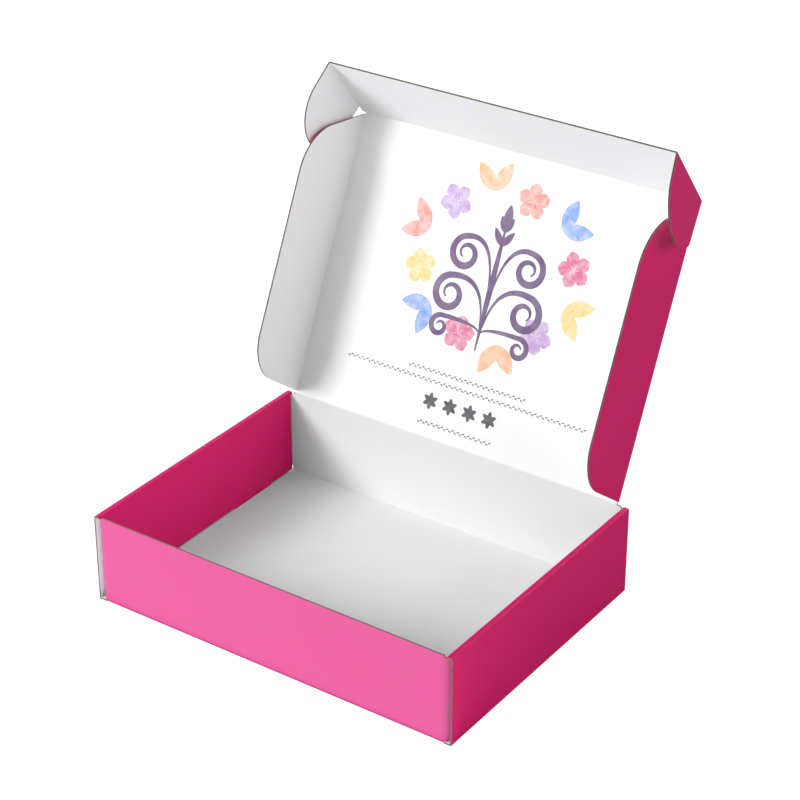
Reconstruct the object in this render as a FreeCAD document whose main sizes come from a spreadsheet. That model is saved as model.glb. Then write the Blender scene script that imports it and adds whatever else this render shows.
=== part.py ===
import FreeCAD, Part
import os
import re
import Sketcher

# Corrugated mailer box with rolled side walls, standing with its lid open.
# Millimetres, +Z up, +X to the right, the front wall faces -Y.
# The origin is on the underside, at the middle of the tray.
# The whole box is folded from one die-cut sheet of thin corrugated board.
# The tray is one solid. Each flap that swings on a crease of the lid is a solid of its own.

doc = FreeCAD.newDocument("mailer_box")

# Driving sizes, in millimetres and degrees
driving_sizes = [
    ("tray_width", 300.0, "outside, over both rolled side walls"),
    ("tray_depth", 221.0, "outside, front wall to rear wall"),
    ("tray_height", 68.7, "underside to the tops of the rolled side walls"),
    ("board", 1.2, "thickness of the corrugated board"),
    ("roll_width", 5.0, "thickness of a rolled side wall"),
    ("wall_height", 68.9, "underside to the top of the front and rear walls"),
    ("wall_round", 1.5, "rounding of the front and rear walls' top corners"),
    ("fold_inset", 6.5, "from the tray's side to where the front fold ends"),
    ("front_left_gap", 1.2, "outer panel to the front dust flap, left side"),
    ("front_right_gap", 0.3, "outer panel to the front dust flap, right side"),
    ("rear_gap", 0.7, "outer panel to the rear dust flaps"),
    ("corner_bend", 2.4, "outer radius where a wall bends into its dust flap"),
    ("dust_length", 85.0, "dust flap, from the wall's outer face"),
    ("dust_lift", 3.8, "dust flap's lower edge above the floor"),
    ("layer_gap", 0.3, "dust flap's upper edge below the roll's top strip"),
    ("inner_end_gap", 1.1, "inner side panel's ends to the walls' inner faces"),
    ("floor_gap", 0.2, "inner side panel's lower edge above the floor"),
    ("tab_length", 45.0, "lock tab along the side wall"),
    ("tab_spacing", 118.4, "lock tabs, centre to centre"),
    ("tab_end_gap", 0.1, "lock tab's end above the underside"),
    ("slot_play", 0.3, "room round a lock tab in its slot"),
    ("crease_gap", 0.1, "room between a crease's bead and its seat"),
    ("tuck_play", 0.25, "closed tuck flap to the front wall"),
    ("ear_wall_play", 0.9, "closed ear to the inner side panel"),
    ("ear_flap_play", 1.2, "ear to the lid's side flap"),
    ("tuck_depth", 65.0, "tuck flap, crease to free edge"),
    ("ear_length", 52.0, "ear, crease to free edge"),
    ("ear_heel_reach", 39.0, "end of the ear's sloping lower edge, from its crease"),
    ("ear_heel_rise", 8.6, "the same point, from the lid's front crease"),
    ("ear_side_rise", 23.0, "start of the ear's outer edge, from the lid's front crease"),
    ("ear_nose_round", 31.0, "large round corner of the ear"),
    ("ear_heel_round", 6.0, "small round corners of the ear"),
    ("flap_depth", 65.5, "lid's side flap, crease to free edge"),
    ("flap_rear_taper", 15.4, "side flap's free corner, in from the hinge"),
    ("flap_front_taper", 23.2, "side flap's free corner, in from the front crease"),
    ("flap_rear_round", 36.0, "side flap's corner towards the hinge"),
    ("flap_front_round", 38.0, "side flap's corner towards the front"),
    ("flap_end_play", 1.6, "side flap's crease, in from the lid's two ends"),
    ("lid_open_angle", 115.1, "lid, swung open from closed"),
    ("tuck_fold_angle", 63.5, "tuck flap, folded from flat"),
    ("flap_fold_angle", 90.0, "side flaps, folded from flat"),
    ("left_ear_fold_angle", 88.0, "left ear, folded from flat"),
    ("right_ear_fold_angle", 75.0, "right ear, folded from flat"),
]

sizes = doc.addObject("Spreadsheet::Sheet", "sizes")
for row, (alias, number, meaning) in enumerate(driving_sizes, start=1):
    sizes.set("A%d" % row, alias)
    sizes.set("B%d" % row, str(number))
    sizes.set("C%d" % row, meaning)
    sizes.setAlias("B%d" % row, alias)
doc.recompute()

aliases = [alias for alias, number, meaning in driving_sizes]


def bound(formula):
    """The formula with each size's name pointing at its cell."""
    return re.sub(r"[a-z_]+", lambda word: "sizes." + word.group() if word.group() in aliases
                  else word.group(), formula)


def number_of(formula):
    """What the formula comes to with the sheet's present numbers."""
    return float(sizes.evalExpression(bound(formula)))


# Lengths that several pieces share, as formulas of the driving sizes
roll_inside = "(tray_width / 2 - roll_width)"
fold_half = "(tray_width / 2 - fold_inset)"
ear_crease = "(tray_width / 2 - roll_width - ear_wall_play - board)"
lid_half = "(tray_width / 2 - roll_width - ear_wall_play - ear_flap_play - 2 * board)"
lid_reach = "(tray_depth - 2.5 * board - tuck_play)"
hinge_back = "(tray_depth / 2 - board / 2)"
hinge_height = "(wall_height + crease_gap + board / 2)"
seat_radius = "(board + crease_gap)"
dust_low = "(board + dust_lift)"
dust_high = "(tray_height - board - layer_gap)"


def new_body(label):
    body = doc.addObject("PartDesign::Body", label)
    body.Label = label
    return body


def new_sketch(body, name, plane_role, offset="0"):
    """A sketch on one of the body's own planes, raised along the plane's normal."""
    plane = [item for item in body.Origin.OriginFeatures if item.Role == plane_role][0]
    sketch = body.newObject("Sketcher::SketchObject", body.Name + "_" + name)
    sketch.AttachmentSupport = [(plane, "")]
    sketch.MapMode = "FlatFace"
    sketch.setExpression("AttachmentOffset.Base.z", bound(offset))
    doc.recompute()
    return sketch


def pin_point(sketch, geometry, end, across, up):
    """Holds one point of the sketch at two formulas, measured from the sketch's origin."""
    for kind, formula in (("DistanceX", across), ("DistanceY", up)):
        constraint = Sketcher.Constraint(kind, -1, 1, geometry, end, number_of(formula))
        index = sketch.addConstraint(constraint)
        sketch.setExpression("Constraints[%d]" % index, bound(formula))


def draw_polygon(sketch, corners):
    """A closed outline of straight lines, its corners held by formulas."""
    points = [FreeCAD.Vector(number_of(across), number_of(up), 0) for across, up in corners]
    first = sketch.GeometryCount
    for start, end in zip(points, points[1:] + points[:1]):
        sketch.addGeometry(Part.LineSegment(start, end), False)
    count = len(corners)
    for index in range(count):
        following = first + (index + 1) % count
        sketch.addConstraint(Sketcher.Constraint("Coincident", first + index, 2, following, 1))
    for index, (across, up) in enumerate(corners):
        pin_point(sketch, first + index, 1, across, up)


def draw_rectangle(sketch, left, right, low, high):
    draw_polygon(sketch, [(left, low), (right, low), (right, high), (left, high)])


def draw_circle(sketch, across, up, radius):
    centre = FreeCAD.Vector(number_of(across), number_of(up), 0)
    upright = FreeCAD.Vector(0, 0, 1)
    circle = sketch.addGeometry(Part.Circle(centre, upright, number_of(radius)), False)
    pin_point(sketch, circle, 3, across, up)
    index = sketch.addConstraint(Sketcher.Constraint("Radius", circle, number_of(radius)))
    sketch.setExpression("Constraints[%d]" % index, bound(radius))


def draw_half_disc(sketch, radius, side):
    """A half disc about the sketch's origin, bulging to the left (-1) or to the right (1)."""
    size = number_of(radius)
    ends = [FreeCAD.Vector(0, size, 0), FreeCAD.Vector(0, -size, 0)]
    arc_of_circle = Part.Arc(ends[0], FreeCAD.Vector(side * size, 0, 0), ends[1])
    arc = sketch.addGeometry(arc_of_circle, False)
    chord = sketch.addGeometry(Part.LineSegment(ends[0], ends[1]), False)
    curve = sketch.Geometry[arc]
    top_end = 1 if (curve.StartPoint - ends[0]).Length < size / 2 else 2
    sketch.addConstraint(Sketcher.Constraint("Coincident", arc, 3, -1, 1))
    sketch.addConstraint(Sketcher.Constraint("Coincident", chord, 1, arc, top_end))
    sketch.addConstraint(Sketcher.Constraint("Coincident", chord, 2, arc, 3 - top_end))
    sketch.addConstraint(Sketcher.Constraint("PointOnObject", chord, 1, -2))
    sketch.addConstraint(Sketcher.Constraint("PointOnObject", chord, 2, -2))
    index = sketch.addConstraint(Sketcher.Constraint("Radius", arc, size))
    sketch.setExpression("Constraints[%d]" % index, bound(radius))


def pad(body, sketch, length, symmetric=False, backwards=False):
    feature = body.newObject("PartDesign::Pad", sketch.Name + "_pad")
    feature.Profile = sketch
    feature.SideType = "Symmetric" if symmetric else "One side"
    feature.Reversed = backwards
    feature.setExpression("Length", bound(length))
    doc.recompute()
    return feature


def pocket_through(body, sketch):
    feature = body.newObject("PartDesign::Pocket", sketch.Name + "_pocket")
    feature.Profile = sketch
    feature.SideType = "Symmetric"
    feature.Type = "ThroughAll"
    doc.recompute()
    return feature


def pocket_up(body, sketch, length):
    feature = body.newObject("PartDesign::Pocket", sketch.Name + "_pocket")
    feature.Profile = sketch
    feature.Reversed = True
    feature.setExpression("Length", bound(length))
    doc.recompute()
    return feature


def edges_along(feature, axis, places):
    """Names of the straight edges that run along the axis through the given places.

    A place is a pair of formulas, for the two coordinates that the axis leaves free."""
    free = [index for index in range(3) if index != "XYZ".index(axis)]
    names = []
    for number, edge in enumerate(feature.Shape.Edges, start=1):
        start, end = edge.Vertexes[0].Point, edge.Vertexes[-1].Point
        for place in places:
            wanted = [number_of(formula) for formula in place]
            if all(abs(point[i] - value) < 1e-4 for point in (start, end)
                   for i, value in zip(free, wanted)):
                names.append("Edge%d" % number)
                break
    return names


def round_edges(body, name, base, edge_names, radius):
    feature = body.newObject("PartDesign::Fillet", body.Name + "_" + name)
    feature.Base = (base, edge_names)
    feature.setExpression("Radius", bound(radius))
    doc.recompute()
    return feature


# Tray: front wall, bottom and rear wall, seen from the side and padded across
tray = new_body("tray")
walls = new_sketch(tray, "walls", "YZ_Plane")
draw_polygon(walls, [
    ("-tray_depth / 2", "0"),
    ("tray_depth / 2", "0"),
    ("tray_depth / 2", "wall_height"),
    ("tray_depth / 2 - board", "wall_height"),
    ("tray_depth / 2 - board", "board"),
    ("board - tray_depth / 2", "board"),
    ("board - tray_depth / 2", "wall_height"),
    ("-tray_depth / 2", "wall_height"),
])
walls_pad = pad(tray, walls, "2 * " + fold_half, symmetric=True)
walls_folds = round_edges(tray, "wall_folds", walls_pad, edges_along(
    walls_pad, "X", [("-tray_depth / 2", "0"), ("tray_depth / 2", "0")]), "board")
top_corners = []
for side in ("-", ""):
    for depth in ("tray_depth / 2", "tray_depth / 2 - board"):
        top_corners.append((side + fold_half, "wall_height"))
round_edges(tray, "wall_tops", walls_folds,
            edges_along(walls_folds, "Y", top_corners), "wall_round")

# Tray: each side wall is rolled, outer panel up, top strip across, inner panel down
sides = new_sketch(tray, "sides", "XZ_Plane")
for side in ("-", ""):
    draw_polygon(sides, [
        (side + fold_half, "0"),
        (side + "(tray_width / 2)", "0"),
        (side + "(tray_width / 2)", "tray_height"),
        (side + roll_inside, "tray_height"),
        (side + roll_inside, "board + floor_gap"),
        (side + "(" + roll_inside + " + board)", "board + floor_gap"),
        (side + "(" + roll_inside + " + board)", "tray_height - board"),
        (side + "(tray_width / 2 - board)", "tray_height - board"),
        (side + "(tray_width / 2 - board)", "board"),
        (side + fold_half, "board"),
    ])
sides_pad = pad(tray, sides, "tray_depth", symmetric=True)
roll_edges = []
for side in ("-", ""):
    roll_edges.append((side + "(tray_width / 2)", "0"))
    roll_edges.append((side + "(tray_width / 2)", "tray_height"))
    roll_edges.append((side + roll_inside, "tray_height"))
round_edges(tray, "roll_folds", sides_pad, edges_along(sides_pad, "Y", roll_edges), "board")

# Tray: the inner side panels end inside the front and rear walls
panel_ends = new_sketch(tray, "panel_ends", "XY_Plane", "board")
for side in ("-", ""):
    for depth in ("-", ""):
        draw_rectangle(panel_ends,
                       side + "(" + roll_inside + " - board)", side + "(tray_width / 2 - board)",
                       depth + "(tray_depth / 2 - board - inner_end_gap)", depth + "(tray_depth / 2)")
pocket_up(tray, panel_ends, "tray_height - 2 * board")

# Tray: lock slots in the bottom, and the inner panels' lock tabs that stand in them
slots = new_sketch(tray, "slots", "XY_Plane")
tabs = new_sketch(tray, "tabs", "XY_Plane", "tab_end_gap")
for side in ("-", ""):
    for depth in ("-", ""):
        draw_rectangle(slots,
                       side + "(" + roll_inside + " - slot_play)",
                       side + "(" + roll_inside + " + board + slot_play)",
                       depth + "(tab_spacing / 2 - tab_length / 2 - slot_play)",
                       depth + "(tab_spacing / 2 + tab_length / 2 + slot_play)")
        draw_rectangle(tabs,
                       side + roll_inside, side + "(" + roll_inside + " + board)",
                       depth + "(tab_spacing / 2 - tab_length / 2)",
                       depth + "(tab_spacing / 2 + tab_length / 2)")
pocket_up(tray, slots, "board")
pad(tray, tabs, "2 * board + floor_gap - tab_end_gap")

# Tray: the front and rear walls bend into dust flaps that stand inside the rolls
corner_gaps = {"-": ("front_left_gap", "front_right_gap"), "": ("rear_gap", "rear_gap")}
for depth, (left_gap, right_gap) in corner_gaps.items():
    left = "-(tray_width / 2 - board - " + left_gap + ")"
    right = "(tray_width / 2 - board - " + right_gap + ")"
    face = depth + "(tray_depth / 2)"
    inner_face = depth + "(tray_depth / 2 - board)"
    flap_end = depth + "(tray_depth / 2 - dust_length)"
    dust = new_sketch(tray, "front_dust" if depth else "rear_dust", "XY_Plane", dust_low)
    draw_polygon(dust, [
        (left, face),
        (right, face),
        (right, flap_end),
        (right + " - board", flap_end),
        (right + " - board", inner_face),
        (left + " + board", inner_face),
        (left + " + board", flap_end),
        (left, flap_end),
    ])
    dust_pad = pad(tray, dust, dust_high + " - " + dust_low)
    outer_bends = round_edges(tray, dust.Name + "_outer", dust_pad, edges_along(
        dust_pad, "Z", [(left, face), (right, face)]), "corner_bend")
    round_edges(tray, dust.Name + "_inner", outer_bends, edges_along(
        outer_bends, "Z", [(left + " + board", inner_face), (right + " - board", inner_face)]),
        "corner_bend - board")


def seat_of_crease(body, name, plane_role, places):
    """A hollow along each crease, in which the next panel's bead turns."""
    sketch = new_sketch(body, name, plane_role)
    for across, up in places:
        draw_circle(sketch, across, up, seat_radius)
    pocket_through(body, sketch)


# Lid panel, modelled closed and flat about its hinge, on the board's middle
lid_panel = new_body("lid_panel")
lid_sheet = new_sketch(lid_panel, "sheet", "XY_Plane")
draw_rectangle(lid_sheet, "-" + lid_half, lid_half, "-" + lid_reach, "0")
pad(lid_panel, lid_sheet, "board", symmetric=True)
lid_bead = new_sketch(lid_panel, "bead", "YZ_Plane")
draw_half_disc(lid_bead, "board / 2", 1)
pad(lid_panel, lid_bead, "2 * " + lid_half, symmetric=True)
seat_of_crease(lid_panel, "tuck_seat", "YZ_Plane", [("-" + lid_reach, "-board / 2")])
seat_of_crease(lid_panel, "flap_seats", "XZ_Plane",
               [("-" + lid_half, "-board / 2"), (lid_half, "-board / 2")])
lid_panel.setExpression("Placement", bound(
    "placement(vector(0; " + hinge_back + "; " + hinge_height + ");"
    " rotation(vector(1; 0; 0); -lid_open_angle))"))


def side_flap(label, side):
    """A side flap of the lid, flat beside its crease; side is "-" for left and "" for right."""
    body = new_body(label)
    outline = new_sketch(body, "sheet", "XY_Plane")
    hinge_corner = (side + "flap_depth", "-flap_rear_taper")
    front_corner = (side + "flap_depth", "flap_front_taper - " + lid_reach)
    draw_polygon(outline, [
        ("0", "-flap_end_play"),
        hinge_corner,
        front_corner,
        ("0", "flap_end_play - " + lid_reach),
    ])
    sheet = pad(body, outline, "board")
    rear_round = round_edges(body, "rear_round", sheet, edges_along(
        sheet, "Z", [hinge_corner]), "flap_rear_round")
    round_edges(body, "front_round", rear_round, edges_along(
        rear_round, "Z", [front_corner]), "flap_front_round")
    bead = new_sketch(body, "bead", "XZ_Plane", "flap_end_play")
    draw_half_disc(bead, "board", 1 if side else -1)
    pad(body, bead, lid_reach + " - 2 * flap_end_play")
    turn = "-1 * flap_fold_angle" if side else "flap_fold_angle"
    body.setExpression("Placement", bound(
        "lid_panel.Placement * placement(vector(" + side + lid_half + "; 0; -board / 2);"
        " rotation(vector(0; 1; 0); " + turn + "))"))
    return body


lid_left_flap = side_flap("lid_left_flap", "-")
lid_right_flap = side_flap("lid_right_flap", "")

# Tuck flap, flat beyond the lid's front crease, with its inner face at zero height
tuck_flap = new_body("tuck_flap")
tuck_sheet = new_sketch(tuck_flap, "sheet", "XY_Plane")
draw_rectangle(tuck_sheet, "-" + ear_crease, ear_crease, "-tuck_depth", "0")
pad(tuck_flap, tuck_sheet, "board")
tuck_bead = new_sketch(tuck_flap, "bead", "YZ_Plane")
draw_half_disc(tuck_bead, "board", 1)
pad(tuck_flap, tuck_bead, "2 * " + lid_half, symmetric=True)
seat_of_crease(tuck_flap, "ear_seats", "XZ_Plane", [("-" + ear_crease, "0"), (ear_crease, "0")])
tuck_flap.setExpression("Placement", bound(
    "lid_panel.Placement * placement(vector(0; -" + lid_reach + "; -board / 2);"
    " rotation(vector(1; 0; 0); tuck_fold_angle))"))


def tuck_ear(label, side):
    """An ear of the tuck flap, flat beside its crease; side is "-" for left and "" for right."""
    body = new_body(label)
    outline = new_sketch(body, "sheet", "XY_Plane")
    heel = (side + "ear_heel_reach", "-ear_heel_rise")
    ankle = (side + "ear_length", "-ear_side_rise")
    nose = (side + "ear_length", "-tuck_depth")
    draw_polygon(outline, [("0", "-board"), heel, ankle, nose, ("0", "-tuck_depth")])
    sheet = pad(body, outline, "board")
    nose_round = round_edges(body, "nose_round", sheet, edges_along(
        sheet, "Z", [nose]), "ear_nose_round")
    round_edges(body, "heel_round", nose_round, edges_along(
        nose_round, "Z", [heel, ankle]), "ear_heel_round")
    bead = new_sketch(body, "bead", "XZ_Plane", "board")
    draw_half_disc(bead, "board", 1 if side else -1)
    pad(body, bead, "tuck_depth - board")
    turn = "-1 * left_ear_fold_angle" if side else "right_ear_fold_angle"
    body.setExpression("Placement", bound(
        "tuck_flap.Placement * placement(vector(" + side + ear_crease + "; 0; 0);"
        " rotation(vector(0; 1; 0); " + turn + "))"))
    return body


tuck_left_ear = tuck_ear("tuck_left_ear", "-")
tuck_right_ear = tuck_ear("tuck_right_ear", "")

# Every object is sound and every piece is one whole solid before anything is written
doc.recompute()
for item in doc.Objects:
    if "Invalid" in item.State or "Error" in item.State:
        raise RuntimeError(item.Name + " did not build")

pieces = [tray, lid_panel, lid_left_flap, lid_right_flap, tuck_flap, tuck_left_ear, tuck_right_ear]
os.makedirs("parts", exist_ok=True)
for piece in pieces:
    if piece.Shape.isNull() or not piece.Shape.isValid() or len(piece.Shape.Solids) != 1:
        raise RuntimeError(piece.Label + " is not one valid solid")
for piece in pieces:
    piece.Shape.exportStep("parts/" + piece.Label + ".step")
    box = piece.Shape.BoundBox
    print(piece.Label, "%.1f cm3" % (piece.Shape.Volume / 1000),
          "x %.1f to %.1f, y %.1f to %.1f, z %.1f to %.1f"
          % (box.XMin, box.XMax, box.YMin, box.YMax, box.ZMin, box.ZMax))
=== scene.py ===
import math
import bmesh
import bpy
from mathutils import Matrix, Vector


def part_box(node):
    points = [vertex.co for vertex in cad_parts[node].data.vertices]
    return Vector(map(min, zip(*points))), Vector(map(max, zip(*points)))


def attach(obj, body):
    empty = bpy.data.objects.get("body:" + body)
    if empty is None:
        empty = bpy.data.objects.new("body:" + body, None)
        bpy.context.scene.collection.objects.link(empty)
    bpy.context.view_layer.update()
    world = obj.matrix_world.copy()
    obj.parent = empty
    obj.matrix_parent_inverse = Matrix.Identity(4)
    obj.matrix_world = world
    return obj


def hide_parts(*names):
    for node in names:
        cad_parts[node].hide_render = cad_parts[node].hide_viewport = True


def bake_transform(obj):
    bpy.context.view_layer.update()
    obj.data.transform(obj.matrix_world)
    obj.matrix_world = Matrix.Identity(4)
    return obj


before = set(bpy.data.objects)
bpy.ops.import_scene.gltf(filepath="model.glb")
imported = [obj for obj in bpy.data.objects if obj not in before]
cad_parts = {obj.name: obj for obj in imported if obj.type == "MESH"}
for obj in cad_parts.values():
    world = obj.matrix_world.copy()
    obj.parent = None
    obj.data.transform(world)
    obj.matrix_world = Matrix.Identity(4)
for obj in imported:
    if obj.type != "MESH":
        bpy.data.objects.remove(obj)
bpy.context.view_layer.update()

# Studio: the camera at the photograph's place, a plain white floor and backdrop, and softboxes at
# the front left, the right and the rear. The right one is cross-polarised, so it lays no sheen. A
# light table, flat on the floor before the front wall, gives that wall its pale sheen.
scene = bpy.context.scene
camera_place = Vector((0.84251, -1.15830, 0.95501))
camera_forward = Vector((-0.500945, 0.715973, -0.486247))
camera_data = bpy.data.cameras.new("camera")
camera_data.sensor_width = 36.0
camera_data.lens = 108.75
camera_data.clip_start = 0.05
camera_data.clip_end = 60.0
camera = bpy.data.objects.new("camera", camera_data)
camera.location = camera_place
camera.rotation_euler = camera_forward.to_track_quat("-Z", "Y").to_euler()
scene.collection.objects.link(camera)
scene.camera = camera
scene.view_settings.view_transform = "Standard"
scene.view_settings.look = "None"

world = bpy.data.worlds.new("studio")
world.use_nodes = True
sky_nodes = world.node_tree.nodes
sky_links = world.node_tree.links
room_light = sky_nodes["Background"]
room_light.inputs["Strength"].default_value = 0.23
room_light.inputs["Color"].default_value = (1.0, 1.0, 1.0, 1.0)
backdrop_white = sky_nodes.new("ShaderNodeBackground")
backdrop_white.inputs["Color"].default_value = (1.0, 1.0, 1.0, 1.0)
ray_kind = sky_nodes.new("ShaderNodeLightPath")
sky_mix = sky_nodes.new("ShaderNodeMixShader")
sky_links.new(ray_kind.outputs["Is Camera Ray"], sky_mix.inputs[0])
sky_links.new(room_light.outputs[0], sky_mix.inputs[1])
sky_links.new(backdrop_white.outputs[0], sky_mix.inputs[2])
sky_links.new(sky_mix.outputs[0], sky_nodes["World Output"].inputs["Surface"])
scene.world = world


def softbox(name, place, aim, width, height, watts, colour=(1.0, 1.0, 1.0)):
    """A rectangular area light that faces a point, in metres."""
    lamp = bpy.data.lights.new(name, "AREA")
    lamp.shape = "RECTANGLE"
    lamp.size = width
    lamp.size_y = height
    lamp.energy = watts
    lamp.color = colour
    holder = bpy.data.objects.new(name, lamp)
    holder.location = place
    holder.rotation_euler = (Vector(aim) - Vector(place)).to_track_quat("-Z", "Y").to_euler()
    scene.collection.objects.link(holder)
    return holder


box_middle = (0, 0, 0.1)
softbox("key_softbox", (-1.35, -2.10, 1.40), box_middle, width=1.0, height=0.8, watts=56.0)
softbox("high_softbox", (-0.9, -1.4, 2.2), box_middle, width=1.5, height=1.2, watts=13.0)
right_softbox = softbox("right_softbox", (2.3, 0.1, 0.8), box_middle, width=2.2, height=1.5, watts=30.0)
right_softbox.visible_glossy = False
softbox("rear_softbox", (-1.0, 2.4, 0.8), box_middle, width=1.8, height=1.2, watts=32.0)
softbox("light_table", (-0.30, -0.712, 0.0003), (-0.30, -0.712, 3.0), width=1.4, height=1.2, watts=7.5,
        colour=(0.94, 0.98, 1.0))

floor_mesh = bpy.data.meshes.new("studio_floor")
floor_half = 12.0
floor_height = -0.0002
floor_mesh.from_pydata([(-floor_half, -floor_half, floor_height), (floor_half, -floor_half, floor_height),
                        (floor_half, floor_half, floor_height), (-floor_half, floor_half, floor_height)],
                       [], [(0, 1, 2, 3)])
floor = bpy.data.objects.new("studio_floor", floor_mesh)
floor_paint = bpy.data.materials.new("floor_paint")
floor_paint.use_nodes = True
floor_surface = floor_paint.node_tree.nodes["Principled BSDF"]
floor_surface.inputs["Base Color"].default_value = (0.22, 0.22, 0.22, 1.0)
floor_surface.inputs["Emission Color"].default_value = (1.0, 1.0, 1.0, 1.0)
floor_ray = floor_paint.node_tree.nodes.new("ShaderNodeLightPath")
floor_links = floor_paint.node_tree.links
floor_links.new(floor_ray.outputs["Is Camera Ray"], floor_surface.inputs["Emission Strength"])
floor_surface.inputs["Roughness"].default_value = 0.9
floor_surface.inputs["Specular IOR Level"].default_value = 0.0
floor_paint.cycles.emission_sampling = "NONE"
floor_mesh.materials.append(floor_paint)
scene.collection.objects.link(floor)

# Bottom, front wall and rear wall: the middle of the die-cut blank, one run of thin corrugated
# board, creased at the foot of both walls. The walls' ends turn a corner and become the four
# dust flaps, which stand hidden inside the rolled side walls.
MM = 0.001
board = 1.2
liner = 0.17
medium = 0.15
flute_pitch = 2.6
flute_steps = 10
flute_play = 0.02
flute_rise = board / 2 - liner - medium / 2 - flute_play
edge_hollow = 0.7
bend_steps = 10
tolerance = 1e-3
sharp_from = 32.0
half_width, half_depth, wall_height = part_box("tray")[1] / MM
roll_width = 5.0
roll_drop = 0.2
roll_height = wall_height - roll_drop
fold_inset = 6.5
fold_half = half_width - fold_inset
foot_line = half_depth - board
crease_arc = board * math.pi / 2


def rounded(corners, steps=10):
    """A closed outline with its corners rounded; each corner is (across, along, radius)."""
    points = []
    count = len(corners)
    for index, (q, r, radius) in enumerate(corners):
        here = Vector((q, r))
        if radius == 0:
            points.append((q, r))
            continue
        back = (Vector(corners[index - 1][:2]) - here).normalized()
        ahead = (Vector(corners[(index + 1) % count][:2]) - here).normalized()
        half_turn = math.acos(max(-1.0, min(1.0, back.dot(ahead)))) / 2
        centre = here + (back + ahead).normalized() * radius / math.sin(half_turn)
        first = here + back * radius / math.tan(half_turn) - centre
        last = here + ahead * radius / math.tan(half_turn) - centre
        turn = math.atan2(first.x * last.y - first.y * last.x, first.dot(last))
        for step in range(steps + 1):
            spin = Matrix.Rotation(turn * step / steps, 2)
            points.append(tuple(centre + spin @ first))
    return points


def cut_blank(outline, across_lines, along_lines, holes):
    """The flat shape, split along lines of constant q and r, with its slots punched out."""
    flat = bmesh.new()
    flat.faces.new([flat.verts.new((q, r, 0)) for q, r in outline])
    lines = [(q, Vector((1, 0, 0))) for q in across_lines] + [(r, Vector((0, 1, 0))) for r in along_lines]
    for value, normal in lines:
        bmesh.ops.bisect_plane(flat, geom=flat.verts[:] + flat.edges[:] + flat.faces[:],
                               dist=1e-4, plane_co=normal * value, plane_no=normal)
    punched = []
    for face in flat.faces:
        middle = face.calc_center_median()
        for left, right, near, far in holes:
            if left < middle.x < right and near < middle.y < far:
                punched.append(face)
    bmesh.ops.delete(flat, geom=punched, context="FACES")
    flat.verts.index_update()
    points = [(corner.co.x, corner.co.y) for corner in flat.verts]
    faces = [[corner.index for corner in face.verts] for face in flat.faces]
    flat.free()
    return points, faces


def never(q, r):
    return False


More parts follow.
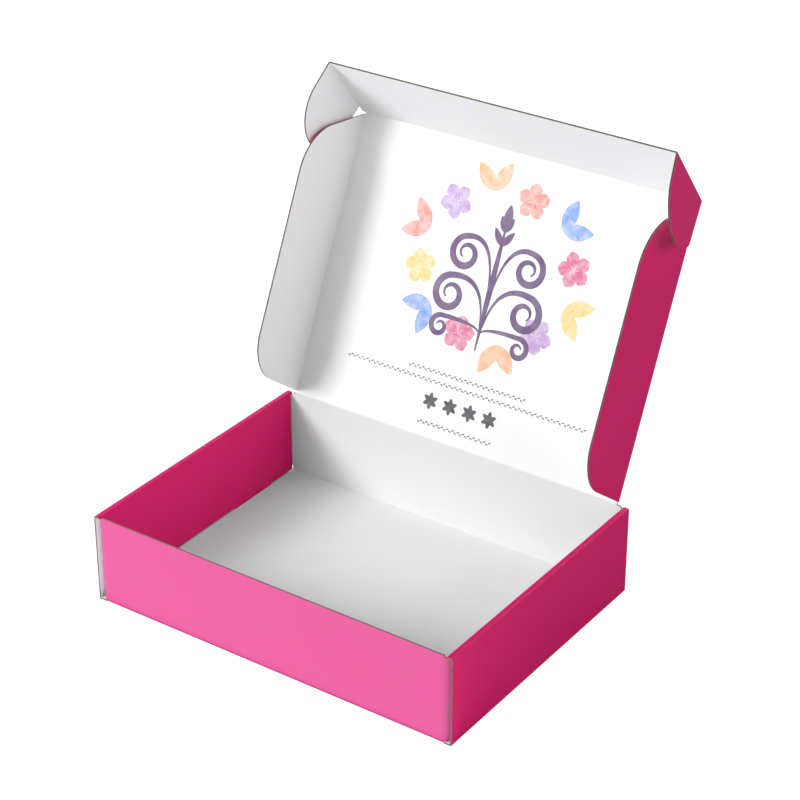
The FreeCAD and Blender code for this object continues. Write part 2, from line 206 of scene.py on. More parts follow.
def corrugated(name, outline, fold, across_lines=(), along_lines=(), holes=(), seam=never,
               bare=never, second_print_and_sheen=never, painted_shade=never):
    """A piece of corrugated board: two liners, and raw edges that show the fluted medium.

    fold(q, r, t) gives the place in millimetres of the blank's point (q, r), t above the
    white inner face. Edges where seam(q, r) holds join the next piece and stay plain.
    The outer face is unprinted where bare(q, r) holds. Where the mask after it holds, the outer face
    has the piece's second finish: a duller print on the rolls, a bluer print as painted sheen on the
    front wall. Where the last mask holds, the inner face is painted greyer, as painted shade."""
    points, faces = cut_blank(outline, across_lines, along_lines, holes)
    outward = {(a, b) for face in faces for a, b in zip(face, face[1:] + face[:1])}
    border = [(a, b) for a, b in outward if (b, a) not in outward]
    border.sort()

    # The border is divided finely enough to follow the flutes where it crosses them
    added = {}
    steps_after = {}
    for a, b in border:
        (qa, ra), (qb, rb) = points[a], points[b]
        is_seam = seam((qa + qb) / 2, (ra + rb) / 2)
        parts = 1 if is_seam else max(1, math.ceil(abs(qb - qa) * flute_steps / flute_pitch))
        chain = [a]
        for part in range(1, parts):
            share = part / parts
            points.append((qa + (qb - qa) * share, ra + (rb - ra) * share))
            chain.append(len(points) - 1)
        added[(a, b)] = chain[1:]
        for start, end in zip(chain, chain[1:] + [b]):
            steps_after[start] = (end, is_seam)
    whole_faces = []
    for face in faces:
        whole = []
        for a, b in zip(face, face[1:] + face[:1]):
            whole.append(a)
            whole.extend(added.get((a, b), []))
        whole_faces.append(whole)
    steps_before = {end: (start, is_seam) for start, (end, is_seam) in steps_after.items()}

    solid = bmesh.new()
    place_on_blank = solid.verts.layers.float_vector.new("blank")

    def vertex(q, r, t):
        corner = solid.verts.new(fold(q, r, t) * MM)
        corner[place_on_blank] = (q, r, t)
        return corner

    inner = [vertex(q, r, 0.0) for q, r in points]
    outer = [vertex(q, r, board) for q, r in points]

    # Where the border is raw, a ring of heights: liner, hollow, medium, hollow, liner.
    # A ring moves inwards square to its edge, or along the seam where a seam begins or ends
    rings = {}
    for here, (after, seam_after) in steps_after.items():
        before, seam_before = steps_before[here]
        if seam_after and seam_before:
            continue
        spot = Vector(points[here])
        run_in = (spot - Vector(points[before])).normalized()
        run_out = (Vector(points[after]) - spot).normalized()
        left_in = Vector((-run_in.y, run_in.x))
        left_out = Vector((-run_out.y, run_out.x))
        if seam_after:
            inward = run_out * edge_hollow / max(0.2, run_out.dot(left_in))
        elif seam_before:
            inward = -run_in * edge_hollow / max(0.2, (-run_in).dot(left_out))
        else:
            mitre = (left_in + left_out).normalized()
            inward = mitre * edge_hollow / max(0.4, mitre.dot(left_in))
        q, r = spot
        flute = board / 2 + flute_rise * math.cos(2 * math.pi * q / flute_pitch)
        deep_q, deep_r = spot + inward
        low, high = flute - medium / 2, flute + medium / 2
        rings[here] = [inner[here],
                       vertex(q, r, liner), vertex(deep_q, deep_r, liner),
                       vertex(deep_q, deep_r, low), vertex(q, r, low),
                       vertex(q, r, high), vertex(deep_q, deep_r, high),
                       vertex(deep_q, deep_r, board - liner), vertex(q, r, board - liner),
                       outer[here]]

    print_face, plain_face, raw_face, second_print_and_sheen_face, painted_shade_face = range(5)
    for whole in whole_faces:
        middle = sum((Vector(points[index]) for index in whole), Vector((0, 0))) / len(whole)
        ink_face = second_print_and_sheen_face if second_print_and_sheen(*middle) else print_face
        if bare(*middle):
            ink_face = plain_face
        paper_face = painted_shade_face if painted_shade(*middle) else plain_face
        solid.faces.new([outer[index] for index in whole]).material_index = ink_face
        solid.faces.new([inner[index] for index in reversed(whole)]).material_index = paper_face
    for here, (after, is_seam) in steps_after.items():
        if is_seam:
            up = rings.get(here, [inner[here], outer[here]])
            down = rings.get(after, [inner[after], outer[after]])
            solid.faces.new(up[::-1] + down).material_index = raw_face
            continue
        for (a, b), (c, d) in zip(zip(rings[here], rings[here][1:]), zip(rings[after], rings[after][1:])):
            solid.faces.new([a, c, d, b]).material_index = raw_face
    bmesh.ops.remove_doubles(solid, verts=solid.verts[:], dist=1e-8)
    bmesh.ops.dissolve_degenerate(solid, edges=solid.edges[:], dist=1e-9)
    bmesh.ops.recalc_face_normals(solid, faces=solid.faces[:])
    mesh = bpy.data.meshes.new(name)
    solid.to_mesh(mesh)
    solid.free()
    mesh.shade_smooth()
    mesh.set_sharp_from_angle(angle=math.radians(sharp_from))
    finishes = [pink_print, white_liner, raw_edge]
    if painted_shade is not never:
        finishes += [dull_print, painted_shade_liner]
    for finish in finishes:
        mesh.materials.append(finish)
    piece = bpy.data.objects.new(name, mesh)
    scene.collection.objects.link(piece)
    return piece


def new_finish(name):
    finish = bpy.data.materials.new(name)
    finish.use_nodes = True
    return finish, finish.node_tree, finish.node_tree.nodes["Principled BSDF"]


def add_node(tree, kind, inputs=None, **settings):
    """A shader node with its settings and its input values or links."""
    node = tree.nodes.new(kind)
    for key, value in settings.items():
        setattr(node, key, value)
    for key, value in (inputs or {}).items():
        if isinstance(value, bpy.types.NodeSocket):
            tree.links.new(value, node.inputs[key])
        else:
            node.inputs[key].default_value = value
    return node


def fibre_grain(tree, place):
    """The paper's fine fibre, which also shows through the inks."""
    return add_node(tree, "ShaderNodeTexNoise",
                    {"Vector": place.outputs["Vector"], "Scale": 2.6, "Detail": 5.0, "Roughness": 0.7})


def paper_finish(name, dark, light, gloss_level, roughness, mottle_size, washboard, fibre):
    """Coated paper on corrugated board: cloudy colour, fine fibre and faint flute lines.

    The clouds, of mottle_size in millimetres, take the roughness from its first value to its
    second. washboard and fibre are the shares of the flutes and of the fibre in the relief."""
    finish, tree, surface = new_finish(name)
    surface.inputs["Specular IOR Level"].default_value = gloss_level
    place = add_node(tree, "ShaderNodeAttribute", attribute_name="blank")
    clouds = add_node(tree, "ShaderNodeTexNoise",
                      {"Vector": place.outputs["Vector"], "Scale": 1 / mottle_size, "Detail": 6.0,
                       "Roughness": 0.62})
    grain = fibre_grain(tree, place)
    both = add_node(tree, "ShaderNodeMath", {0: clouds.outputs["Fac"], 1: grain.outputs["Fac"]},
                    operation="ADD")
    spread = add_node(tree, "ShaderNodeMapRange",
                      {"Value": both.outputs[0], "From Min": 0.75, "From Max": 1.25, "To Min": 0.0,
                       "To Max": 1.0})
    colour = add_node(tree, "ShaderNodeMix", {"Factor": spread.outputs[0]}, data_type="RGBA")
    colour.inputs[6].default_value = (*dark, 1.0)
    colour.inputs[7].default_value = (*light, 1.0)
    tree.links.new(colour.outputs[2], surface.inputs["Base Color"])
    gloss = add_node(tree, "ShaderNodeMapRange",
                     {"Value": clouds.outputs["Fac"], "From Min": 0.3, "From Max": 0.7,
                      "To Min": roughness[0], "To Max": roughness[1]})
    tree.links.new(gloss.outputs[0], surface.inputs["Roughness"])
    across = add_node(tree, "ShaderNodeSeparateXYZ", {"Vector": place.outputs["Vector"]})
    turns = add_node(tree, "ShaderNodeMath",
                     {0: across.outputs["X"], 1: 2 * math.pi / flute_pitch}, operation="MULTIPLY")
    ripple = add_node(tree, "ShaderNodeMath", {0: turns.outputs[0]}, operation="COSINE")
    ripple_share = add_node(tree, "ShaderNodeMath", {0: ripple.outputs[0], 1: washboard},
                            operation="MULTIPLY")
    grain_share = add_node(tree, "ShaderNodeMath", {0: grain.outputs["Fac"], 1: fibre},
                           operation="MULTIPLY")
    relief = add_node(tree, "ShaderNodeMath",
                      {0: ripple_share.outputs[0], 1: grain_share.outputs[0]}, operation="ADD")
    bump = add_node(tree, "ShaderNodeBump",
                    {"Height": relief.outputs[0], "Strength": 0.5, "Distance": 0.0001})
    tree.links.new(bump.outputs["Normal"], surface.inputs["Normal"])
    return finish


# The front wall's print is painted bluer than the other panels': a painted sheen that stands in for
# the pale light on that wall. The varnish stops at the rolls' outer folds, so the print that turns
# inwards is duller. The liner in the rolls is painted greyer: painted shade, for the dark in there
printed_relief = {"mottle_size": 60.0, "washboard": 0.10, "fibre": 0.35}
liner_relief = {"mottle_size": 40.0, "washboard": 0.08, "fibre": 0.30}
edge_relief = {"mottle_size": 3.0, "washboard": 0.0, "fibre": 1.0}
varnish = {"gloss_level": 1.0, "roughness": (0.42, 0.50)}
pink_print = paper_finish("pink_print", (0.705, 0.0006, 0.140), (0.741, 0.0008, 0.152),
                          **varnish, **printed_relief)
front_print_painted_sheen = paper_finish("front_print_painted_sheen", (0.540, 0.0008, 0.176), (0.572, 0.0010, 0.190),
                           **varnish, **printed_relief)
dull_print = paper_finish("dull_print", (0.660, 0.0060, 0.126), (0.695, 0.0075, 0.136),
                          gloss_level=0.15, roughness=(0.55, 0.65), **printed_relief)
white_liner = paper_finish("white_liner", (0.828, 0.826, 0.834), (0.850, 0.848, 0.856),
                           gloss_level=0.5, roughness=(0.58, 0.68), **liner_relief)
# Painted shade: the liner hidden inside the rolls is painted a darker grey, for the dark there
painted_shade_liner = paper_finish("painted_shade_liner", (0.400, 0.410, 0.420), (0.440, 0.450, 0.460),
                              gloss_level=0.3, roughness=(0.65, 0.75), **liner_relief)
raw_edge = paper_finish("raw_edge", (0.200, 0.152, 0.125), (0.330, 0.258, 0.215),
                        gloss_level=0.2, roughness=(0.85, 0.95), **edge_relief)

dust_low = 5.0
layer_gap = 0.3
dust_high = roll_height - board - layer_gap
dust_length = 85.0
dust_round = 4.0
shoulder_round = 1.0
shoulder_run = 0.6


def wall_point(height):
    """Where a height on a wall lies along the blank."""
    return foot_line + crease_arc + height - board


# Each corner by its side and end: the gap from the outer panel to the dust flap, the bend's
# outer radius, and where the sloping cut at the corner's foot ends on the blank
corner_shapes = {
    (-1, -1): (1.4, 5.4, 146.0),
    (1, -1): (0.3, 7.0, 151.0),
    (-1, 1): (0.7, 3.0, 146.0),
    (1, 1): (0.7, 3.0, 146.0),
}
# The print ends part of the way round the left front bend, and just past the others
print_shares = {(-1, -1): 0.62, (1, -1): 1.1, (-1, 1): 1.1, (1, 1): 1.1}


def corner_bend(side, end):
    """Where a corner's bend starts, its outer radius and its length along the outer face."""
    gap, bend_radius = corner_shapes[(side, end)][:2]
    return half_width - board - gap - bend_radius, bend_radius, bend_radius * math.pi / 2


def wall_fold(q, r, t):
    """The blank's middle run, creased at both walls' feet and bent into the dust flaps."""
    end = -1 if r < 0 else 1
    side = -1 if q < 0 else 1
    past_foot = abs(r) - foot_line
    turn = min(max(past_foot / crease_arc, 0.0), 1.0) * math.pi / 2
    outset = t * math.sin(turn)
    height = board - t * math.cos(turn) + max(0.0, past_foot - crease_arc)
    if past_foot <= 0:
        return Vector((q, r, height))
    bend_start, bend_radius, bend_arc = corner_bend(side, end)
    past_bend = abs(q) - bend_start
    if past_bend <= 0:
        return Vector((q, end * (foot_line + outset), height))
    swing = min(past_bend / bend_arc, 1.0) * math.pi / 2
    radius = bend_radius - board + outset
    x = bend_start + radius * math.sin(swing)
    y = half_depth - bend_radius + radius * math.cos(swing) - max(0.0, past_bend - bend_arc)
    return Vector((side * x, end * y, height))


hinge_play = 0.7
lid_half = 140.5
wall_corners = []
wall_across_lines = set()
quarter_order = [(1, -1), (1, 1), (-1, 1), (-1, -1)]
for side, end in quarter_order:
    bend_start, bend_radius, bend_arc = corner_bend(side, end)
    slope_end = corner_shapes[(side, end)][2]
    flap_end = bend_start + bend_arc + dust_length - bend_radius
    quarter = [
        (lid_half, wall_point(wall_height), 0.0),
        (fold_half, wall_point(wall_height), shoulder_round),
        (fold_half + shoulder_run, wall_point(dust_high), 0.0),
        (flap_end, wall_point(dust_high), dust_round),
        (flap_end, wall_point(dust_low), dust_round),
        (slope_end, wall_point(dust_low), 0.0),
        (fold_half, foot_line, 0.0),
    ]
    if end < 0:
        quarter = quarter[1:]
    placed = [(side * q, end * r, radius) for q, r, radius in quarter]
    wall_corners.extend(placed if side * end < 0 else placed[::-1])
    for step in range(-1, bend_steps + 2):
        wall_across_lines.add(round(side * (bend_start + bend_arc * step / bend_steps), 4))
wall_along_lines = [end * (foot_line + crease_arc * step / bend_steps)
                    for end in (-1, 1) for step in range(-1, bend_steps + 2)]


def wall_seam(q, r):
    beside_rolls = abs(abs(q) - fold_half) < tolerance and abs(r) < foot_line
    under_hinge = r > wall_point(wall_height) - tolerance and abs(q) < lid_half
    return beside_rolls or under_hinge


def past_print(q, r):
    """The unprinted dust flaps, from a little way round each corner."""
    corner = (-1 if q < 0 else 1, -1 if r < 0 else 1)
    bend_start, bend_radius, bend_arc = corner_bend(*corner)
    return abs(r) > foot_line and abs(q) > bend_start + print_shares[corner] * bend_arc


def on_front(q, r):
    return r < -foot_line


# Painted shade on the dust flaps' inner faces, which stand inside the rolls
def painted_shade_in_corners(q, r):
    return abs(q) > half_width - roll_width and abs(r) > foot_line


tray_walls = corrugated("tray_bottom_and_walls", rounded(wall_corners), wall_fold,
                        sorted(wall_across_lines), wall_along_lines, seam=wall_seam,
                        bare=past_print, second_print_and_sheen=on_front, painted_shade=painted_shade_in_corners)
# The front wall's bluer print is a painted sheen, standing in for the light on that wall
tray_walls.data.materials[3] = front_print_painted_sheen
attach(tray_walls, "tray")
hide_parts("tray")

# Rolled side walls: the blank's two sides are folded up, over and down again to make double
# walls. The inner panels' lock tabs drop through slots in the bottom and hold without glue.
# The walls cast shadows, but throw no pink bounce light onto the white liner.
floor_gap = 0.9
tab_drop = 2.0
tab_length = 45.0
tab_spacing = 118.4
tab_nose = 0.4
tab_round = 0.5
slot_play = 0.3
inner_end_gap = 1.1
panel_end = half_depth - board - inner_end_gap
outer_fold = half_width - board
inner_fold = half_width - roll_width + board
roll_stations = [outer_fold]
for run in (crease_arc, roll_height - 2 * board, crease_arc, outer_fold - inner_fold, crease_arc,
            roll_height - 2 * board - floor_gap, tab_drop):
    roll_stations.append(roll_stations[-1] + run)
side_rise, side_top, strip_start, strip_end, panel_top, panel_foot, tab_foot = roll_stations[1:]
upper_fold = roll_height - board


def quarter_turn(start, q):
    return min(max((q - start) / crease_arc, 0.0), 1.0) * math.pi / 2


def rolled_fold(side):
    """The fold of one side: the bottom's edge, outer panel, top strip and inner panel."""
    def fold(q, r, t):
        if q <= side_rise:
            turn = quarter_turn(outer_fold, q)
            x = min(q, outer_fold) + t * math.sin(turn)
            z = board - t * math.cos(turn)
        elif q <= strip_start:
            turn = quarter_turn(side_top, q)
            x = outer_fold + t * math.cos(turn)
            z = board + min(q, side_top) - side_rise + t * math.sin(turn)
        else:
            turn = quarter_turn(strip_end, q)
            x = outer_fold - (min(q, strip_end) - strip_start) - t * math.sin(turn)
            z = upper_fold + t * math.cos(turn) - max(0.0, q - panel_top)
        return Vector((side * x, r, z))
    return fold


def rolled_seam(q, r):
    return abs(q - fold_half) < tolerance and abs(r) < foot_line


tab_ends = [end * (tab_spacing + step * tab_length) / 2 for end in (-1, 1) for step in (-end, end)]
roll_corners = [(fold_half, -half_depth, 0.0), (panel_top, -half_depth, 0.0), (panel_top, -panel_end, 0.0),
                (panel_foot, -panel_end, 0.0)]
for near, far in (tab_ends[:2], tab_ends[2:]):
    near, far = min(near, far), max(near, far)
    roll_corners += [(panel_foot, near, 0.0), (tab_foot, near + tab_nose, tab_round),
                     (tab_foot, far - tab_nose, tab_round), (panel_foot, far, 0.0)]
roll_corners += [(panel_foot, panel_end, 0.0), (panel_top, panel_end, 0.0), (panel_top, half_depth, 0.0),
                 (fold_half, half_depth, 0.0), (fold_half, foot_line, 0.0), (fold_half, -foot_line, 0.0)]
open_end = 8.0
painted_shade_reach = half_depth - open_end
slot_left = half_width - roll_width - slot_play
slot_right = half_width - roll_width + board + slot_play
slots = []
for end in (-1, 1):
    slot_ends = [end * (tab_spacing / 2 - tab_length / 2 - slot_play),
                 end * (tab_spacing / 2 + tab_length / 2 + slot_play)]
    slots.append((slot_left, slot_right, min(slot_ends), max(slot_ends)))
roll_across_lines = [start + crease_arc * step / bend_steps
                     for start in (outer_fold, side_top, strip_end) for step in range(-1, bend_steps + 2)]
roll_across_lines += [slot_left, slot_right]
roll_along_lines = [place for slot in slots for place in slot[2:]] + [-painted_shade_reach, painted_shade_reach]


def past_outer_fold(q, r):
    return q > strip_start


# Painted shade on the turned-in part's liner and on the bottom under the roll, short of the open ends
def painted_shade_in_roll(q, r):
    under_roll = half_width - roll_width < q < outer_fold and abs(r) < painted_shade_reach
    return q > strip_start or under_roll


for side, name in ((-1, "left_rolled_wall"), (1, "right_rolled_wall")):
    rolled_wall = corrugated(name, rounded(roll_corners, 4), rolled_fold(side),
                             roll_across_lines, roll_along_lines, slots, rolled_seam,
                             second_print_and_sheen=past_outer_fold, painted_shade=painted_shade_in_roll)
    rolled_wall.visible_diffuse = False
    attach(rolled_wall, "tray")
    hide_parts("tray")

# Lid panel: the large panel that closes the box, pink outside and white inside. It swings on
# the crease along the rear wall's top, which is pressed thin so that the board bends there.
hinge = Vector((0.0, half_depth - board / 2, wall_height + hinge_play))
hinge_steps = 12
lid_angle = 115.1
lid_reach = 217.75
flap_end_play = 1.6
tuck_angle = 63.5


def turned(axis, degrees):
    return Matrix.Rotation(math.radians(degrees), 4, axis)


def moved(x, y, z):
    return Matrix.Translation((x, y, z))


lid_base = moved(*hinge) @ turned("X", -lid_angle) @ moved(0, 0, -board / 2)


def panel_fold(base):
    """A flat panel whose white face lies in the base's ground plane, running towards -Y."""
    def fold(q, r, t):
        return base @ Vector((q, -r, t))
    return fold


def hinge_fold(q, r, t):
    """The bent crease between the rear wall and the lid."""
    share = min(max((r + hinge_play) / (2 * hinge_play), 0.0), 1.0)
    eased = share * share * (3 - 2 * share)
    upright = 90.0
    base = moved(*hinge) @ turned("X", -upright - (lid_angle - upright) * eased)
    return base @ Vector((q, -r, t - board / 2))


hinge_strip = corrugated(
    "lid_hinge_crease",
    [(-lid_half, -hinge_play), (lid_half, -hinge_play), (lid_half, hinge_play), (-lid_half, hinge_play)],
    hinge_fold, along_lines=[hinge_play * (2 * step / hinge_steps - 1) for step in range(1, hinge_steps)],
    seam=lambda q, r: abs(r) > hinge_play - tolerance)
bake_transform(hinge_strip)

lid_outline = [(-lid_half, hinge_play), (lid_half, hinge_play), (lid_half, flap_end_play),
               (lid_half, lid_reach - flap_end_play), (lid_half, lid_reach), (-lid_half, lid_reach),
               (-lid_half, lid_reach - flap_end_play), (-lid_half, flap_end_play)]

# The lid's inner face is painted a brighter white than the liner: painted light, standing in for the
# stronger light on it
lid_white_painted_light = paper_finish("lid_white_painted_light", (0.915, 0.915, 0.918), (0.935, 0.935, 0.938),
                             gloss_level=0.5, roughness=(0.50, 0.60), mottle_size=40.0,
                             washboard=0.06, fibre=0.25)


def lid_seam(q, r):
    beside_flap = abs(abs(q) - lid_half) < tolerance and flap_end_play < r < lid_reach - flap_end_play
    return beside_flap or r < hinge_play + tolerance or r > lid_reach - tolerance


lid_panel = corrugated("lid_board", lid_outline, panel_fold(lid_base), seam=lid_seam)
# The lid's brighter white is painted light
lid_panel.data.materials[1] = lid_white_painted_light
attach(lid_panel, "lid")
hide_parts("lid_panel")

# Print inside the lid: flat inks on the white liner. A ring of watercolour blossoms and leaves
# stands round a mirrored purple scroll, above fine grey rules and four small dark florets.
# Each ink is a thin film that stands a few hundredths of a millimetre proud of the paper.
print_middle = 134.0
film_sink = 0.02
rim_width = 0.22


def leaf_outline(length, width, blunt, steps=16):
    """A leaf or petal along +y from its foot at the origin; blunt moves its widest place outwards."""
    fullness = 0.85
    side = []
    for step in range(1, steps):
        share = step / steps
        side.append((width / 2 * math.sin(math.pi * share ** blunt) ** fullness, length * share))
    return [(0.0, 0.0)] + side + [(0.0, length)] + [(-x, y) for x, y in reversed(side)]


def placed_outline(outline, x, y, degrees):
    spin = Matrix.Rotation(math.radians(degrees), 2)
    return [tuple(Vector((x, y)) + spin @ Vector(point)) for point in outline]


def brush_outline(path, thin, thick):
    """A brush stroke along a smooth path, thin at its ends and thick in between."""
    swell = 1.3
    left, right = [], []
    last = len(path) - 1
    for index, point in enumerate(path):
        run = (Vector(path[min(index + 1, last)]) - Vector(path[max(index - 1, 0)])).normalized()
        half = (thin + (thick - thin) * math.sin(math.pi * index / last) ** swell) / 2
        across = Vector((-run.y, run.x)) * half
        left.append(tuple(Vector(point) + across))
        right.append(tuple(Vector(point) - across))
    return left + right[::-1]


def scroll_path(start, rise, reach, curl_radius, turns, steps=44):
    """A stem that leaves the start upwards, swings out sideways and curls into a spiral."""
    bend_reach, bend_rise = 0.12, 1.25
    curl_closing = 0.72
    start = Vector(start)
    tip = start + Vector((reach, rise))
    bend = start + Vector((reach * bend_reach, rise * bend_rise))
    path = []
    for step in range(steps // 2):
        share = step / (steps // 2)
        path.append(tuple(start * (1 - share) ** 2 + bend * 2 * share * (1 - share) + tip * share ** 2))
    heading = (tip - bend).normalized()
    inward = Vector((heading.y, -heading.x)) * (1 if reach > 0 else -1)
    centre = tip + inward * curl_radius
    sense = -1 if reach > 0 else 1
    for step in range(steps + 1):
        share = step / steps
        spin = Matrix.Rotation(sense * share * turns * 2 * math.pi, 2)
        path.append(tuple(centre - spin @ (inward * curl_radius * (1 - curl_closing * share))))
    return path


def film_piece(name, films, finish):
    """Thin closed films of ink on the lid's white face; each is (outline, height, colour)."""
    solid = bmesh.new()
    place_on_blank = solid.verts.layers.float_vector.new("blank")
    ink = solid.verts.layers.float_vector.new("ink")
    rim = solid.verts.layers.float.new("rim")

    def vertex(x, y, t, colour, edge):
        corner = solid.verts.new(lid_base @ Vector((x, -y, t)) * MM)
        corner[place_on_blank] = (x, y, t)
        corner[ink] = colour
        corner[rim] = edge
        return corner

    for outline, height, colour in films:
        count = len(outline)
        inset = []
        for index, point in enumerate(outline):
            run = (Vector(outline[(index + 1) % count]) - Vector(outline[index - 1])).normalized()
            inset.append(tuple(Vector(point) + Vector((-run.y, run.x)) * rim_width))
        top = [vertex(x, y, -height, colour, 1.0) for x, y in outline]
        inner = [vertex(x, y, -height, colour, 0.0) for x, y in inset]
        foot = [vertex(x, y, film_sink, colour, 1.0) for x, y in outline]
        solid.faces.new(inner)
        solid.faces.new(foot)
        for index in range(count):
            after = (index + 1) % count
            solid.faces.new([top[index], top[after], inner[after], inner[index]])
            solid.faces.new([top[index], top[after], foot[after], foot[index]])
    bmesh.ops.recalc_face_normals(solid, faces=solid.faces[:])
    mesh = bpy.data.meshes.new(name)
    solid.to_mesh(mesh)
    solid.free()
    mesh.materials.append(finish)
    piece = bpy.data.objects.new(name, mesh)
    scene.collection.objects.link(piece)
    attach(piece, "lid")
    return piece


def ink_finish(name, pale, strong, cloud_size, rim_share):
    """Ink that pools a little darker at its rim and clouds towards the paper's white."""
    finish, tree, surface = new_finish(name)
    place = add_node(tree, "ShaderNodeAttribute", attribute_name="blank")
    tint = add_node(tree, "ShaderNodeAttribute", attribute_name="ink")
    edge = add_node(tree, "ShaderNodeAttribute", attribute_name="rim")
    clouds = add_node(tree, "ShaderNodeTexNoise",
                      {"Vector": place.outputs["Vector"], "Scale": 1 / cloud_size, "Detail": 4.0,
                       "Roughness": 0.55, "Distortion": 0.6})
    wash = add_node(tree, "ShaderNodeMapRange",
                    {"Value": clouds.outputs["Fac"], "From Min": 0.35, "From Max": 0.65,
                     "To Min": pale, "To Max": strong})
    pooled = add_node(tree, "ShaderNodeMath", {0: edge.outputs["Fac"], 1: rim_share, 2: wash.outputs[0]},
                      operation="MULTIPLY_ADD", use_clamp=True)
    colour = add_node(tree, "ShaderNodeMix", {"Factor": pooled.outputs[0]}, data_type="RGBA")
    colour.inputs[6].default_value = (0.92, 0.92, 0.925, 1.0)
    tree.links.new(tint.outputs["Color"], colour.inputs[7])
    tree.links.new(colour.outputs[2], surface.inputs["Base Color"])
    gloss = add_node(tree, "ShaderNodeMapRange",
                     {"Value": clouds.outputs["Fac"], "To Min": 0.55, "To Max": 0.70})
    tree.links.new(gloss.outputs[0], surface.inputs["Roughness"])
    grain = fibre_grain(tree, place)
    bump = add_node(tree, "ShaderNodeBump",
                    {"Height": grain.outputs["Fac"], "Strength": 0.25, "Distance": 0.0001})
    tree.links.new(bump.outputs["Normal"], surface.inputs["Normal"])
    return finish


watercolour = ink_finish("watercolour_ink", pale=0.58, strong=0.96, cloud_size=7.0, rim_share=0.22)
brush_ink = ink_finish("brush_ink", pale=0.90, strong=1.0, cloud_size=12.0, rim_share=0.05)
salmon, rose, lilac = (0.870, 0.290, 0.230), (0.700, 0.110, 0.270), (0.500, 0.300, 0.620)
azure, honey, peach = (0.180, 0.330, 0.760), (0.900, 0.620, 0.180), (0.900, 0.430, 0.200)
plum, slate = (0.150, 0.078, 0.205), (0.062, 0.062, 0.070)

ring_across, ring_along = 64.0, 55.0
ring_colours = [salmon, azure, rose, honey, lilac, peach, rose, azure, honey, salmon, lilac, peach]
petal_count = 5
petal_cut = leaf_outline(13.5, 10.5, 1.5)
leaf_cut = leaf_outline(25.0, 12.0, 0.9)
leaf_leans = (-38.0, 30.0)
ring_film, motif_film_step, petal_film_step = 0.024, 0.001, 0.0015
blossom_turn = 11.0
petals = []
for index, colour in enumerate(ring_colours):
    turn = 360.0 * (index + 0.5) / len(ring_colours)
    x = ring_across * math.sin(math.radians(turn))
    y = print_middle + ring_along * math.cos(math.radians(turn))
    height = ring_film + motif_film_step * index
    if index % 2 == 0:
        for petal in range(petal_count):
            spin = 360.0 * petal / petal_count + blossom_turn * index
            petals.append((placed_outline(petal_cut, x, y, spin), height + petal_film_step * petal, colour))
    else:
        for lean in leaf_leans:
            petals.append((placed_outline(leaf_cut, x, y, lean - turn),
                           height + petal_film_step * (lean > 0), colour))
film_piece("lid_print_blossoms", petals, watercolour)

# The scroll's arms: where each leaves the stem, its rise and reach, the curl's radius and turns,
# and the stroke's full width
scroll_arms = ((90.0, 30.0, 34.0, 13.5, 1.35, 5.2), (112.0, 38.0, 30.0, 12.5, 1.35, 4.8),
               (86.0, 4.0, 33.0, 8.0, 1.2, 3.8))
stem_offset = 1.2
stroke_end = 0.7
arm_film, stem_film, leaf_film, bud_film, stroke_film_step = 0.050, 0.048, 0.064, 0.090, 0.002
strokes = []
for hand in (-1, 1):
    for start_y, rise, reach, curl, turns, thick in scroll_arms:
        path = scroll_path((hand * stem_offset, start_y), rise, hand * reach, curl, turns)
        strokes.append((brush_outline(path, stroke_end, thick),
                        arm_film + stroke_film_step * len(strokes), plum))
stem_foot, stem_step, stem_steps = 72.0, 3.1, 32
stem_path = [(0.0, stem_foot + stem_step * step) for step in range(stem_steps)]
strokes.append((brush_outline(stem_path, 0.8, 4.2), stem_film, plum))
leaf_width = 5.4
for y, lean, length in ((150.0, 34.0, 15.0), (160.0, 24.0, 13.0)):
    for hand in (-1, 1):
        strokes.append((placed_outline(leaf_outline(length, leaf_width, 0.9), 0.0, y, -hand * lean),
                        leaf_film + stroke_film_step * len(strokes), plum))
bud_foot = 164.0
strokes.append((placed_outline(leaf_outline(17.0, 7.5, 0.8), 0.0, bud_foot, 0.0), bud_film, plum))
film_piece("lid_print_scroll", strokes, brush_ink)

# The rules: each one's height above the hinge and half its length
rules = ((48.6, 50.0), (41.4, 103.0), (10.5, 32.0))
mark_pitch = 2.3
mark_cut = leaf_outline(2.8, 1.0, 0.9, 7)
mark_shift = 1.3
mark_leans = (-118.0, -62.0)
rule_film, floret_film = 0.024, 0.026
marks = []
for y, half_run in rules:
    count = int(2 * half_run / mark_pitch)
    for index in range(count + 1):
        x = (index - count / 2) * mark_pitch - mark_shift
        marks.append((placed_outline(mark_cut, x, y, mark_leans[index % 2]), rule_film, slate))
floret_count = 4
floret_spacing = 17.0
floret_height = 27.0
floret_petals = 6
floret_radius, petal_swell = 5.0, 1.3
floret_steps = 72
for index in range(floret_count):
    x = (index - (floret_count - 1) / 2) * floret_spacing
    outline = []
    for step in range(floret_steps):
        turn = 2 * math.pi * step / floret_steps
        radius = floret_radius + petal_swell * math.cos(floret_petals * turn)
        outline.append((x - radius * math.sin(turn), floret_height + radius * math.cos(turn)))
    marks.append((outline, floret_film, slate))
film_piece("lid_print_rules", marks, brush_ink)

# Side flaps of the lid: one on each side, with rounded free corners, folded to a right angle.
# They slide down inside the rolled walls when the lid closes.
flap_depth = 65.5
flap_angle = 90.0
flap_rear_taper, flap_rear_round = 15.4, 36.0
flap_front_taper, flap_front_round = 23.2, 38.0


def side_crease_fold(base, side, angle, arc):
    """A crease that turns about the inner face's line, which lies along the base's Y axis."""
    def fold(q, r, t):
        return base @ turned("Y", side * angle * q / arc) @ Vector((0, -r, t))
    return fold


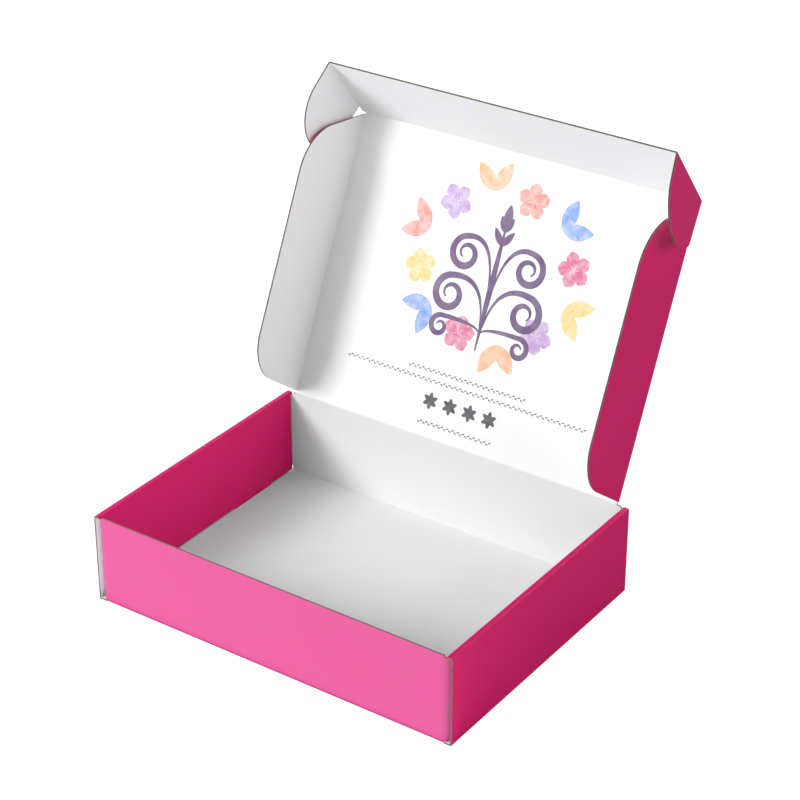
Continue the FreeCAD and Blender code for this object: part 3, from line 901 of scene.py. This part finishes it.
def side_crease(name, base, side, angle, near, far):
    """The outer liner's bend at a side fold, shared by the two panels that it joins."""
    arc = board * math.radians(angle)
    fold = side_crease_fold(base, side, angle, arc)
    piece = corrugated(
        name, [(0, near), (arc, near), (arc, far), (0, far)], fold,
        across_lines=[arc * step / bend_steps for step in range(1, bend_steps)],
        seam=lambda q, r: q < tolerance or q > arc - tolerance)
    middle = (near + far) / 2
    fold(0, middle, board) * MM
    fold(arc, middle, board) * MM
    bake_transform(piece)
    return piece


for side, label in ((-1, "left"), (1, "right")):
    flap_root = lid_base @ moved(side * lid_half, 0, 0)
    side_crease(label + "_flap_crease", flap_root, side, flap_angle,
                flap_end_play, lid_reach - flap_end_play)
    flap_corners = [(0.0, flap_end_play, 0.0),
                    (side * flap_depth, flap_rear_taper, flap_rear_round),
                    (side * flap_depth, lid_reach - flap_front_taper, flap_front_round),
                    (0.0, lid_reach - flap_end_play, 0.0)]
    if side < 0:
        flap_corners.reverse()
    flap = corrugated(label + "_flap_board", rounded(flap_corners, 24),
                      panel_fold(flap_root @ turned("Y", side * flap_angle)),
                      seam=lambda q, r: abs(q) < tolerance)
    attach(flap, label + "_flap")
    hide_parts("lid_" + label + "_flap")

# Tuck flap: the strip along the lid's free edge that tucks in behind the front wall. It is a
# little wider than the lid, so that its ears fold outside the side flaps.
tuck_depth = 65.0
ear_crease_half = 142.9
# How far from the lid's edge each ear's crease starts: the left one is cut further back
ear_roots = {-1: 6.8, 1: board}
tuck_root = lid_base @ moved(0, -lid_reach, 0)
tuck_arc = board * math.radians(tuck_angle)


def tuck_crease_fold(q, r, t):
    return tuck_root @ turned("X", tuck_angle * r / tuck_arc) @ Vector((q, 0, t))


tuck_crease = corrugated(
    "tuck_crease", [(-lid_half, 0), (lid_half, 0), (lid_half, tuck_arc), (-lid_half, tuck_arc)],
    tuck_crease_fold, along_lines=[tuck_arc * step / bend_steps for step in range(1, bend_steps)],
    seam=lambda q, r: r < tolerance or r > tuck_arc - tolerance)
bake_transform(tuck_crease)
tuck_base = tuck_root @ turned("X", tuck_angle)
tuck_outline = [(-ear_crease_half, 0), (-lid_half, 0), (lid_half, 0), (ear_crease_half, 0),
                (ear_crease_half, ear_roots[1]), (ear_crease_half, tuck_depth),
                (-ear_crease_half, tuck_depth), (-ear_crease_half, ear_roots[-1])]


def tuck_seam(q, r):
    at_lid = r < tolerance and abs(q) < lid_half
    at_ear = abs(q) > ear_crease_half - tolerance and r > ear_roots[1 if q > 0 else -1]
    return at_lid or at_ear


tuck_flap = corrugated("tuck_flap_board", tuck_outline, panel_fold(tuck_base), seam=tuck_seam)
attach(tuck_flap, "tuck")
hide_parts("tuck_flap")

# Ears: one at each end of the tuck flap, cut with a large round nose so that they slip in
# between the side flaps and the rolled walls.
ear_length = 52.0
ear_heel_reach, ear_heel_rise, ear_heel_round = 39.0, 8.6, 6.0
ear_side_rise = 23.0
ear_nose_round = 31.0
ear_angles = {-1: 88.0, 1: 75.0}
for side, label in ((-1, "left"), (1, "right")):
    ear_root = tuck_base @ moved(side * ear_crease_half, 0, 0)
    side_crease(label + "_ear_crease", ear_root, side, ear_angles[side], ear_roots[side], tuck_depth)
    ear_corners = [(0.0, ear_roots[side], 0.0), (side * ear_heel_reach, ear_heel_rise, ear_heel_round),
                   (side * ear_length, ear_side_rise, ear_heel_round),
                   (side * ear_length, tuck_depth, ear_nose_round), (0.0, tuck_depth, 0.0)]
    if side < 0:
        ear_corners.reverse()
    ear = corrugated(label + "_ear_board", rounded(ear_corners, 24),
                     panel_fold(ear_root @ turned("Y", side * ear_angles[side])),
                     seam=lambda q, r: abs(q) < tolerance)
    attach(ear, label + "_ear")
    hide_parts("tuck_" + label + "_ear")
